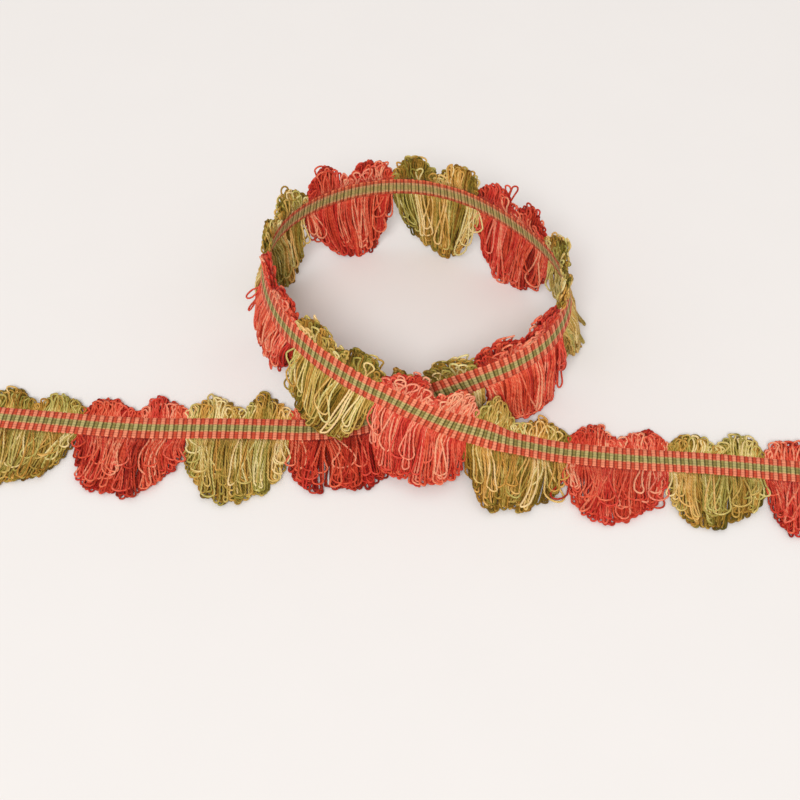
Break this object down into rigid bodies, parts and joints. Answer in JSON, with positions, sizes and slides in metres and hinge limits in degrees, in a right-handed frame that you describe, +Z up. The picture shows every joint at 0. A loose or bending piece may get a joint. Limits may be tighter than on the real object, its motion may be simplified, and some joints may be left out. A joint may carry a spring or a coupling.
{
  "type": "fan edge trim",
  "caption": "Cut length of woven trim with a ribbed striped band, rounded fans of long yarn loops on one edge and small scallops on the other, laid in a line with one standing loop.",
  "frame": {"origin": "on the surface the trim lies on, under the middle of its bounding box", "axes": "+X along the strand from its left cut end to its right one, +Y away from the fans towards the standing loop, +Z up"},
  "size_m": [0.2544, 0.1198, 0.0358],
  "materials": {
    "band_yarn": "matte ribbed weave in coral, olive green and coral stripes",
    "coral_yarn": "soft twisted yarn with a slight sheen",
    "green_yarn": "soft twisted yarn with a slight sheen"
  },
  "bodies": {
    "root": {"band": "band_yarn", "fan_fringe_01": "green_yarn", "scallop_edge_01": "green_yarn", "fan_fringe_02": "coral_yarn", "scallop_edge_02": "coral_yarn", "fan_fringe_03": "green_yarn", "scallop_edge_03": "green_yarn", "fan_fringe_04": "coral_yarn", "scallop_edge_04": "coral_yarn", "fan_fringe_05": "green_yarn", "scallop_edge_05": "green_yarn", "fan_fringe_06": "coral_yarn", "scallop_edge_06": "coral_yarn", "fan_fringe_07": "green_yarn", "scallop_edge_07": "green_yarn", "fan_fringe_08": "coral_yarn", "scallop_edge_08": "coral_yarn", "fan_fringe_09": "green_yarn", "scallop_edge_09": "green_yarn", "fan_fringe_10": "coral_yarn", "scallop_edge_10": "coral_yarn", "fan_fringe_11": "green_yarn", "scallop_edge_11": "green_yarn", "fan_fringe_12": "coral_yarn", "scallop_edge_12": "coral_yarn", "fan_fringe_13": "green_yarn", "scallop_edge_13": "green_yarn", "fan_fringe_14": "coral_yarn", "scallop_edge_14": "coral_yarn", "fan_fringe_15": "green_yarn", "scallop_edge_15": "green_yarn", "fan_fringe_16": "coral_yarn", "scallop_edge_16": "coral_yarn", "fan_fringe_17": "green_yarn", "scallop_edge_17": "green_yarn", "fan_fringe_18": "coral_yarn", "scallop_edge_18": "coral_yarn"}
  },
  "joints": []
}
